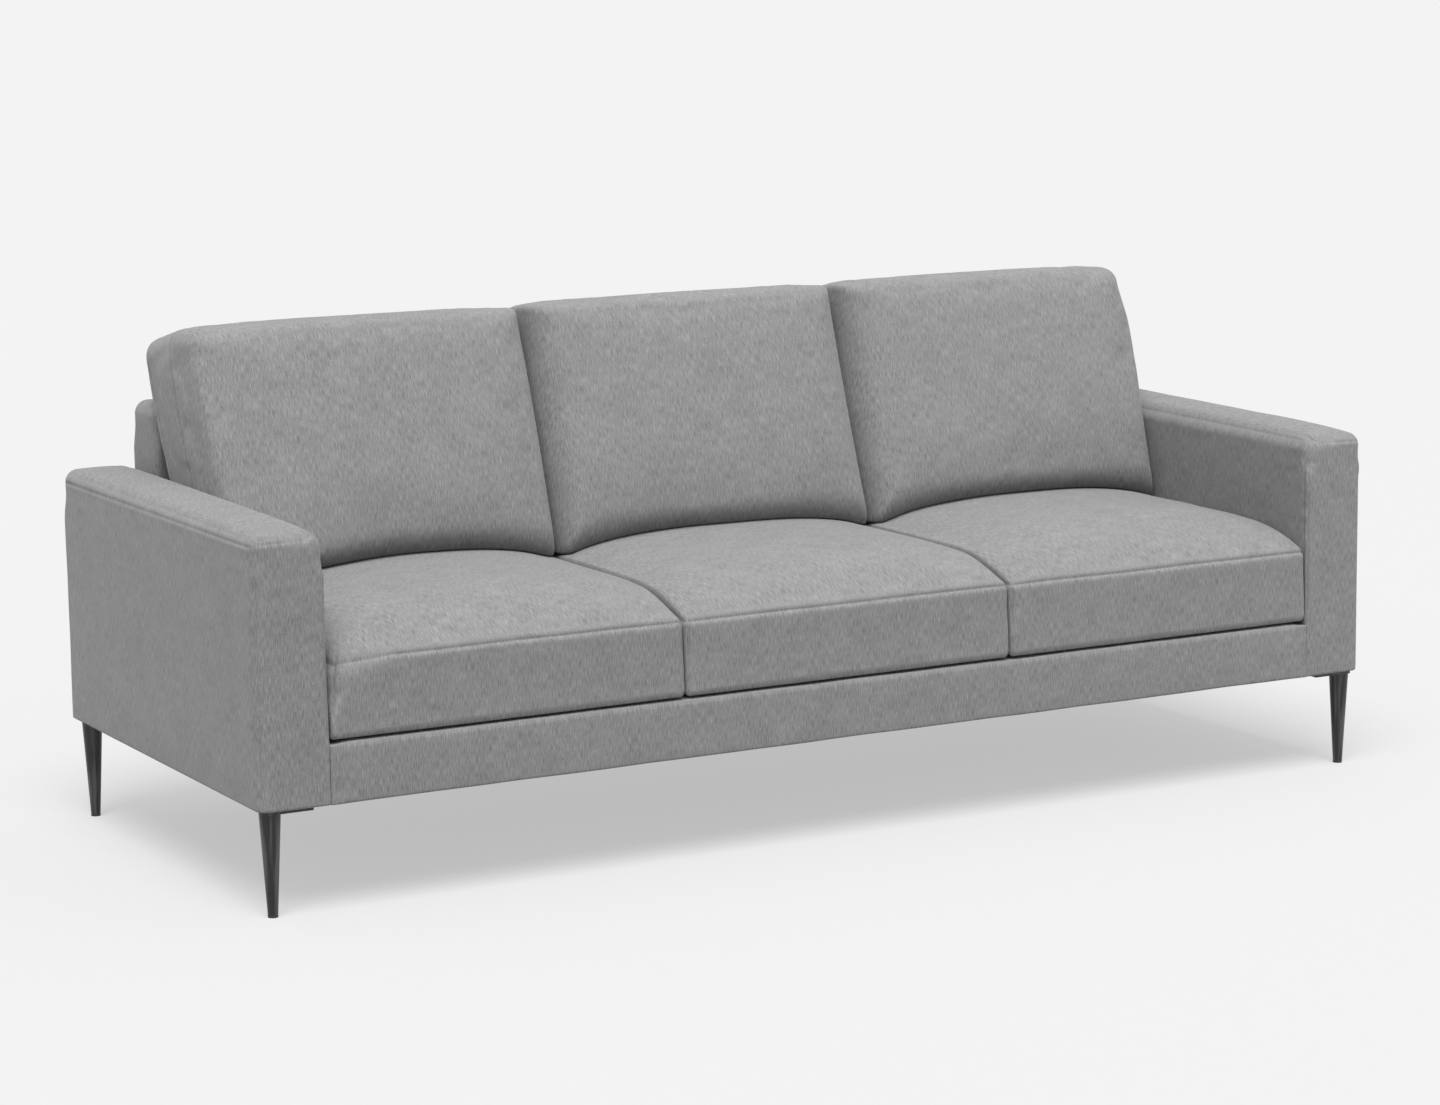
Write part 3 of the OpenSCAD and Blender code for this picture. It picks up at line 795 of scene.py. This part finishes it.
def make_front_rail(materials):
    """The padded rail under the seat cushions."""
    lo, hi = box_of("front_rail_cover")
    lo[0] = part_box("arm_cover_left")[1][0] + RAIL_GAP
    hi[0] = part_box("arm_cover_right")[0][0] - RAIL_GAP
    flat, faces = box_surface(
        graded(lo[0], hi[0], FRAME_FINE, ARM_COARSE),
        spread((lo[1], ARM_FINE), (lo[1] + RAIL_FRONT_BAND, RAIL_COARSE), (hi[1], 0)),
        graded(lo[2], hi[2], ARM_FINE, RAIL_COARSE),
    )
    near_front = 1 - rising(flat[:, 1], lo[1], RAIL_FADE)
    from_end = np.minimum(flat[:, 0] - lo[0], hi[0] - flat[:, 0])
    inward = rising(from_end, RAIL_END_FLAT, RAIL_FADE)
    _, v, w = shares(flat, lo, hi)
    edge = ARM_HEM_EDGE + (RAIL_TOP_EDGE - ARM_HEM_EDGE) * rising(w, 0.4, 0.4)
    points = round_box(flat, lo, hi, RAIL_EDGE + (edge - RAIL_EDGE) * near_front * inward)
    points[:, 2] += at_ends(w, 0, RAIL_CROWN) * inward
    points[:, 1] += at_ends(v, -RAIL_PUFF, 0) * plateau(w, 4) * inward
    points = drift(points, RAIL_DRIFT, DRIFT_SCALE, 11, (0, 1.0, 1.0), inward)
    piece = make_object("front_rail_upholstery", points, faces, materials["upholstery"])
    no_seam(piece)
    finish_piece(piece, "frame", "front_rail_cover", "front_rail_padding")


def make_back_frame(materials):
    """The upholstered back: rounded upper edge, with a seam around its rear panel."""
    lo, hi = box_of("back_cover")
    flat, faces = box_surface(
        graded(lo[0], hi[0], FRAME_FINE, 0.015, BACK_FRAME_BAND, BACK_FRAME_BAND),
        graded(lo[1], hi[1], FRAME_FINE, 0.010, BACK_FRAME_BAND, BACK_FRAME_BAND),
        graded(lo[2], hi[2], FRAME_FINE, 0.014, far=BACK_FRAME_BAND),
    )
    near_top = rising(flat[:, 2], hi[2] - TOP_EDGE_START, TOP_EDGE_FADE)
    edge = BACK_FRAME_HEM_EDGE + (BACK_FRAME_TOP_EDGE - BACK_FRAME_HEM_EDGE) * near_top
    points = round_box(flat, lo, hi, edge)
    u, v, w = shares(flat, lo, hi)
    points[:, 1] += at_ends(v, 0, BACK_FRAME_PUFF) * plateau(u, 8) * plateau(w, 4)
    points = drift(points, BACK_FRAME_DRIFT, BACK_FRAME_DRIFT_SCALE, 17, (1.0, 1.0, 1.0))
    left, right, top = lo[0] + BACK_FRAME_SEAM, hi[0] - BACK_FRAME_SEAM, hi[2] - BACK_FRAME_SEAM
    seam = [(left, hi[1], lo[2]), (left, hi[1], top), (right, hi[1], top), (right, hi[1], lo[2])]
    piece = make_object("back_frame_upholstery", points, faces, materials["upholstery"])
    mark_seam(piece, distance_to_paths(points, [seam]))
    sew(piece, depth=0.0015, width=0.003, pucker=0.0004, seed=21)
    finish_piece(piece, "frame", "back_cover", "back_padding")


def make_deck(materials):
    """The platform under the seat cushions: dark cloth over its pad, dipping between the springs."""
    corners = np.array([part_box("deck_cloth"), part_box("deck_pad")])
    lo, hi = corners[:, 0].min(axis=0), corners[:, 1].max(axis=0)
    flat, faces = box_surface(
        graded(lo[0], hi[0], FRAME_FINE, DECK_COARSE),
        graded(lo[1], hi[1], FRAME_FINE, DECK_COARSE),
        spread((lo[2], FRAME_FINE), (hi[2], 0)),
    )
    points = round_box(flat, lo, hi, DECK_EDGE)
    u, v, w = shares(flat, lo, hi)
    dip = DECK_DIP * np.sin(np.pi * v) ** 0.5 * (0.6 + 0.4 * np.cos(2 * np.pi * u * DECK_WAVES))
    points[:, 2] -= at_ends(w, 0, 1) * dip
    piece = make_object("deck_upholstery", points, faces, materials["deck_cloth"])
    mark_seam(piece, distance_to_paths(points, [outline(lo, hi, DECK_HEM, hi[2])]))
    finish_piece(piece, "frame", "deck_cloth", "deck_pad", slot="deck_cloth")


def make_dust_cover(materials):
    """The thin cloth stapled under the end and rear rails, sagging slightly between them."""
    lo, hi = box_of("dust_cover")
    flat, faces = box_surface(
        spread((lo[0], DUST_GRID), (hi[0], 0)),
        spread((lo[1], DUST_GRID), (hi[1], 0)),
        np.array([lo[2], hi[2]]),
    )
    u, v, _ = 2 * shares(flat, lo, hi) - 1
    points = flat.copy()
    points[:, 2] -= DUST_SAG * bell(u) * bell(v) * (0.8 + 0.2 * wander(flat, DUST_DRIFT_SCALE, 71))
    piece = make_object("dust_cover_cloth", points, faces, materials["deck_cloth"])
    no_seam(piece)
    finish_piece(piece, "frame", "dust_cover", slot="deck_cloth")


# ---------------------------------------------------------------- seat cushions

SEAT_EDGE = 0.012
SEAT_BASE_EDGE = 0.008
SEAT_EDGE_START = 0.02
SEAT_EDGE_FADE = 0.06
SEAT_BOXING = 0.129
RIM_INSET = 0.293
SEAT_FRONT_BAND = 0.05
SEAT_FRONT_EDGES = {"left": (0.028, 0.012), "middle": (0.012, 0.012), "right": (0.012, 0.010)}
SEAT_CORNER = 0.020
SEAT_CORNER_REACH = 0.14
SEAT_CORNER_DROP = {"left": (0.45, 0.5), "middle": (0.55, 0.5), "right": (0.55, 0.25)}
SEAT_HALF = 0.32
SEAT_RISE = 0.043
SEAT_FRONT_ROLL = 0.055
SEAT_REAR_ROLL = 0.04
SEAT_CROWN = {"left": 0.029, "middle": 0.029, "right": 0.032}
SEAT_CROWN_REACH = 0.22
SEAT_SIDE_GAP = {"left": 0.004, "middle": 0.0, "right": 0.0}
SEAT_SOFT_CORNER = {"left": 0.024, "middle": 0.0, "right": 0.0}
SOFT_CORNER_WIDTH = 0.13
SOFT_CORNER_DEPTH = 0.10
SOFT_CORNER_FADE = (0.11, 0.08)
SEAT_SAG = {"left": 0.008, "middle": 0.0, "right": 0.0}
SEAT_SWELL = 0.005
SEAT_REAR_SLACK = 0.002
SEAT_DRIFT = 0.0012
SEAT_DRIFT_SCALE = 7.0
SEAT_DRIFT_START = 0.05
CUSHION_SLACK = 0.0012
CUSHION_FINE = 0.003
CUSHION_COARSE = 0.009
SURFACE_STEPS = 40
OVERHEAD = 2.0


def seat_top(u, v, depth, seat):
    """Height of the seat's top above the seam line: u across from -1 to 1, v from front to rear."""
    ahead = v * depth
    behind = (1 - v) * depth
    roll = (1 - np.exp(-ahead / SEAT_FRONT_ROLL)) * (1 - np.exp(-behind / SEAT_REAR_ROLL))
    beside = (1 - np.abs(u)) * SEAT_HALF
    drop = np.where(u < 0, *SEAT_CORNER_DROP[seat])
    roll = roll * (1 - drop * np.exp(-beside / SEAT_CORNER) * (1 - smooth(ahead / SEAT_CORNER_REACH)))
    return roll * (SEAT_RISE + SEAT_CROWN[seat] * bell(u) * smooth(ahead / SEAT_CROWN_REACH + 0.15))


def shape_seat_cushion(seat, materials):
    """A boxed seat cushion before it swells: crowned top panel, flat boxing and a plain seam between."""
    lo, hi = box_of(f"seat_cushion_cover_{seat}")
    seam_z = lo[2] + SEAT_BOXING
    flat, faces = box_surface(
        graded(lo[0], hi[0], CUSHION_FINE, CUSHION_COARSE),
        graded(lo[1], hi[1], CUSHION_FINE, CUSHION_COARSE),
        graded(lo[2], seam_z, CUSHION_FINE, CUSHION_COARSE),
    )
    near_left = smooth((lo[0] + SOFT_CORNER_WIDTH - flat[:, 0]) / SOFT_CORNER_FADE[0])
    near_front = smooth((lo[1] + SOFT_CORNER_DEPTH - flat[:, 1]) / SOFT_CORNER_FADE[1])
    soft_corner = SEAT_SOFT_CORNER[seat] * (near_left * near_front)
    rim_edge = SEAT_EDGE + soft_corner
    upward = rising(flat[:, 2], lo[2] + SEAT_EDGE_START, SEAT_EDGE_FADE)
    edge = SEAT_BASE_EDGE + (rim_edge - SEAT_BASE_EDGE) * upward
    points = round_box(flat, lo, np.array([hi[0], hi[1], seam_z]), edge)
    front_edge = np.where(flat[:, 0] < (lo[0] + hi[0]) / 2, *SEAT_FRONT_EDGES[seat])
    at_front = flat[:, 1] < lo[1] + SEAT_FRONT_BAND
    points = round_upright(points, lo, hi, front_edge * rising(flat[:, 2], lo[2], SEAT_BOXING) * at_front)
    u, v, _ = shares(flat, lo, hi)
    u = 2 * u - 1
    top = flat[:, 2] > seam_z - SAME_PLACE
    sag = SEAT_SAG[seat] * smooth((0.2 - u) / 0.9) * rising(v, 0.3, 0.4)
    points[:, 2] += np.where(top, seat_top(u, v, hi[1] - lo[1], seat) - sag, 0)
    piece = make_object(f"seat_upholstery_{seat}", points, faces, materials["upholstery"])
    inset = RIM_INSET * SEAT_EDGE
    mark_seam(piece, distance_to_paths(points, [outline(lo, hi, inset, seam_z - inset)]) + soft_corner)
    return piece, np.ones(len(points))


def finish_seat_cushion(seat, piece):
    """Rests the swollen cushion on its deck and against its neighbours, then sews it."""
    lo, hi = box_of(f"seat_cushion_cover_{seat}")
    points = points_of(piece.data)
    points = np.maximum(points, lo - np.array([CUSHION_SLACK - SEAT_SIDE_GAP[seat], SEAT_SWELL, 0.0]))
    points[:, :2] = np.minimum(points[:, :2], hi[:2] + np.array([CUSHION_SLACK, SEAT_REAR_SLACK]))
    raised = points[:, 2] > lo[2] + SEAT_DRIFT_START
    points = drift(points, SEAT_DRIFT, SEAT_DRIFT_SCALE, 31 + SEATS[seat], (0, 0, 1.0), raised)
    move_points(piece, points)
    subdivide(piece)
    sew(piece, depth=0.0010, width=0.003, pucker=0.0009, seed=41 + SEATS[seat])
    finish_piece(piece, f"seat_cushion_{seat}", f"seat_cushion_cover_{seat}", f"seat_cushion_core_{seat}")


def seat_surface(piece):
    """The seat's top as a function of x and y, read off the finished cushion."""
    points = points_of(piece.data)
    lo, hi = points.min(axis=0) + SEAM_BAND, points.max(axis=0) - SEAM_BAND
    xs = np.linspace(lo[0], hi[0], SURFACE_STEPS)
    ys = np.linspace(lo[1], hi[1], SURFACE_STEPS)
    tree = BVHTree.FromPolygons(points.tolist(), [face.vertices for face in piece.data.polygons])
    down = Vector((0, 0, -1))
    heights = np.array([[tree.ray_cast(Vector((x, y, OVERHEAD)), down)[0].z for y in ys] for x in xs])

    def cell(value, places):
        """The grid step that holds each value, and how far along it the value lies."""
        last = len(places) - 1
        place = np.clip((value - places[0]) / (places[-1] - places[0]) * last, 0, last - 0.001)
        start = place.astype(int)
        return start, place - start

    def height(x, y):
        a, p = cell(x, xs)
        b, q = cell(y, ys)
        near = (1 - p) * heights[a, b] + p * heights[a + 1, b]
        far = (1 - p) * heights[a, b + 1] + p * heights[a + 1, b + 1]
        return (1 - q) * near + q * far

    return height


# ---------------------------------------------------------------- back cushions

BACK_LEAN = math.radians(19.6)
BACK_TOP_SLOPE = math.radians(13.0)
BACK_THICK = 0.213
BACK_FRONT_DOME = 0.080
BACK_REAR_DOME = 0.024
BACK_REAR_SEAM = BACK_THICK - BACK_REAR_DOME
BACK_SEAM_STEP = 0.0035
BACK_CROWN = 0.015
BACK_SWELL = 0.005
BACK_STUFFING = {"left": 0.008, "middle": 0.012, "right": 0.014}
BACK_SLUMP = {"left": 0.008, "middle": 0.0, "right": 0.0}
BACK_SPLAY = {"left": 0.034, "middle": 0.0, "right": 0.0}
BACK_BASE_TAPER = 0.06
BACK_END_TAPER = 0.08
BACK_TOP_FLARE = 0.05
BACK_SINK = 0.018
BACK_DRIFT = 0.0040
BACK_DRIFT_SCALE = 5.0

# How far the pillow's rounding reaches inwards, and how square its corners are
BACK_INNER_ROLL = 0.032
BACK_LEFT_PULL = 0.034
BACK_RIGHT_PULL = {"left": -0.004, "middle": 0.018, "right": 0.034}
BACK_OUTER_ROLL = 0.046
BACK_OUTER_DRAW = 0.030
BACK_CORNER_ROLL = 0.018
BACK_TOP_ROLL = 0.022
BACK_TOP_OUTER_ROLL = 0.016
BACK_BASE_ROLL = 0.075
BACK_TOP_POWER = 4.2
BACK_TOP_OUTER_POWER = 2.0
BACK_BASE_POWER = 6.0

# Where a back cushion meets its seat, the arms and the back frame
CONTACT = 0.0015
BACK_OVERHANG = 0.008
BACK_OVERHANG_START = 0.02
BACK_OVERHANG_REACH = 0.05
BACK_FRAME_GAP = 0.004
BACK_FRAME_CLEAR = 0.002
BACK_FRAME_LAP = 0.05
BACK_FRAME_LAP_REACH = 0.03


def back_outline(across, level, outer, pull):
    """Radii of the pillow's rounding across and upwards, and how square its corners are."""
    out = rising(across * outer, 0.3, 0.5)
    middle = np.sin(np.pi * np.clip(level, 0, 1))
    corner = rising(level, 0.72, 0.2)
    inner_x = BACK_INNER_ROLL + np.where(across > 0, pull, BACK_LEFT_PULL) * middle
    outer_x = BACK_OUTER_ROLL - BACK_OUTER_DRAW * smooth(level / 0.7) + BACK_CORNER_ROLL * corner
    radius_x = inner_x + (outer_x - inner_x) * out
    upper = level > 0.5
    radius_up = np.where(upper, BACK_TOP_ROLL + BACK_TOP_OUTER_ROLL * out, BACK_BASE_ROLL)
    power = np.where(upper, BACK_TOP_POWER - BACK_TOP_OUTER_POWER * out, BACK_BASE_POWER)
    return radius_x, radius_up, power


def pillow(seat, half, tall):
    """A stuffed pillow before it leans: each point's place across, through and up it, and the faces."""
    front_seam = BACK_FRONT_DOME
    flat, faces = box_surface(
        spread((-half, CUSHION_COARSE), (half, 0)),
        spread((0.0, CUSHION_COARSE), (front_seam - SEAM_BAND, BACK_SEAM_STEP),
               (front_seam + SEAM_BAND, CUSHION_COARSE),
               (BACK_REAR_SEAM - SEAM_BAND, BACK_SEAM_STEP), (BACK_THICK, 0)),
        spread((-BACK_SINK, CUSHION_COARSE), (tall, 0)),
    )
    x, d, h = flat.T
    radius_x, radius_up, power = back_outline(x / half, h / tall, SEATS[seat], BACK_RIGHT_PULL[seat])
    core = np.stack([
        np.clip(x, radius_x - half, half - radius_x),
        np.clip(d, front_seam, BACK_REAR_SEAM),
        np.clip(h, radius_up - BACK_SINK, tall - radius_up),
    ], axis=1)
    dome = np.where(d < core[:, 1] + TINY, BACK_FRONT_DOME, BACK_REAR_DOME)
    radii = np.stack([radius_x, dome, radius_up], axis=1)
    off = (flat - core) / radii
    edge = (np.abs(off[:, 0]) ** power + np.abs(off[:, 2]) ** power) ** (2 / power)
    size = np.sqrt(edge + off[:, 1] ** 2)
    return (core + off / np.maximum(size, TINY)[:, None] * radii).T, faces


def shape_back_cushion(seat, materials, surface):
    """A boxed back cushion before it swells: a deep front panel that rolls round to its seam."""
    lo, hi = box_of(f"back_cushion_cover_{seat}")
    half, centre = (hi[0] - lo[0]) / 2, (hi[0] + lo[0]) / 2
    tall = (hi[2] - lo[2]) / math.cos(BACK_LEAN) + BACK_STUFFING[seat]
    (x, d, h), faces = pillow(seat, half, tall)
    across, level, sunk = x / half, np.maximum(h, 0) / tall, np.minimum(h, 0)

    # The front panel's crown and the boxing's taper towards the base
    front = smooth((BACK_FRONT_DOME - d) / BACK_FRONT_DOME)
    d = d - BACK_CROWN * bell(across) * bell(2 * level - 1) * front
    seam = (BACK_REAR_SEAM - BACK_FRONT_DOME) / 2 - np.abs(d - (BACK_REAR_SEAM + BACK_FRONT_DOME) / 2)
    narrow = BACK_BASE_TAPER + BACK_END_TAPER * rising(across * SEATS[seat], 0.5, 0.5)
    taper = narrow * smooth((0.66 - level) / 0.5) - BACK_TOP_FLARE * rising(level, 0.55, 0.3)
    d = d * (1 - taper * np.clip(d / BACK_THICK, 0, 1))

    # The lean, with a level base, a flatter top and the base pressed onto the seat
    base = d * math.tan(BACK_LEAN)
    flatter = math.tan(BACK_LEAN) - math.tan(BACK_TOP_SLOPE)
    h = base + level * (tall - base) + level ** 3 * d * flatter + sunk
    slump = BACK_SLUMP[seat] * smooth((0.7 - across) / 1.2)
    y = lo[1] + slump + d * math.cos(BACK_LEAN) + h * math.sin(BACK_LEAN)
    y -= BACK_SPLAY[seat] * smooth((0.1 - across) / 0.8) * (1 - level) ** 3 * front
    z = lo[2] - d * math.sin(BACK_LEAN) + h * math.cos(BACK_LEAN)
    z += (surface(x + centre, y) + CONTACT - lo[2]) * np.clip(1 - level, 0, 1) ** 4
    points = np.stack([x + centre, y, z], axis=1)
    piece = make_object(f"back_upholstery_{seat}", points, faces, materials["upholstery"])
    mark_seam(piece, seam)
    return piece, rising(level, 0.02, 0.3)


def finish_back_cushion(seat, piece, surface):
    """Presses the swollen cushion against its neighbours, its seat and the back frame, then sews it."""
    lo, hi = box_of(f"back_cushion_cover_{seat}")
    frame_lo, frame_hi = box_of("back_cover")
    arm_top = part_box("arm_cover_left")[1][2]
    outer = SEATS[seat]
    points = drift(points_of(piece.data), BACK_DRIFT, BACK_DRIFT_SCALE, 51 + outer, (0, 1.0, 0.2))
    over_arm = rising(points[:, 2], arm_top + BACK_OVERHANG_START, BACK_OVERHANG_REACH)
    free = CUSHION_SLACK + BACK_OVERHANG * over_arm
    left = lo[0] - np.where(outer < 0, free, CUSHION_SLACK)
    right = hi[0] + np.where(outer > 0, free, CUSHION_SLACK)
    points[:, 0] = np.clip(points[:, 0], left, right)
    points[:, 2] = np.maximum(points[:, 2], surface(points[:, 0], points[:, 1]) + CONTACT)
    over_frame = rising(points[:, 2], frame_hi[2] + BACK_FRAME_CLEAR, BACK_FRAME_LAP_REACH)
    wall = frame_lo[1] - BACK_FRAME_GAP + BACK_FRAME_LAP * over_frame
    points[:, 1] = np.minimum(points[:, 1], wall)
    move_points(piece, points)
    subdivide(piece)
    sew(piece, depth=0.0016, width=0.003, pucker=0.0010, seed=61 + outer)
    finish_piece(piece, f"back_cushion_{seat}", f"back_cushion_cover_{seat}", f"back_cushion_core_{seat}")


# ---------------------------------------------------------------- build

make_camera()
make_floor()
make_light()
materials = make_materials()
dress_frame(materials)
for side in SIDES:
    make_arm(side, materials)
make_front_rail(materials)
make_back_frame(materials)
make_deck(materials)
make_dust_cover(materials)
seat_pieces = {seat: shape_seat_cushion(seat, materials) for seat in SEATS}
inflate(dict(seat_pieces.values()), SEAT_SWELL)
surfaces = {}
for seat, (piece, _) in seat_pieces.items():
    finish_seat_cushion(seat, piece)
    surfaces[seat] = seat_surface(piece)
back_pieces = {seat: shape_back_cushion(seat, materials, surfaces[seat]) for seat in SEATS}
inflate(dict(back_pieces.values()), BACK_SWELL)
for seat, (piece, _) in back_pieces.items():
    finish_back_cushion(seat, piece, surfaces[seat])
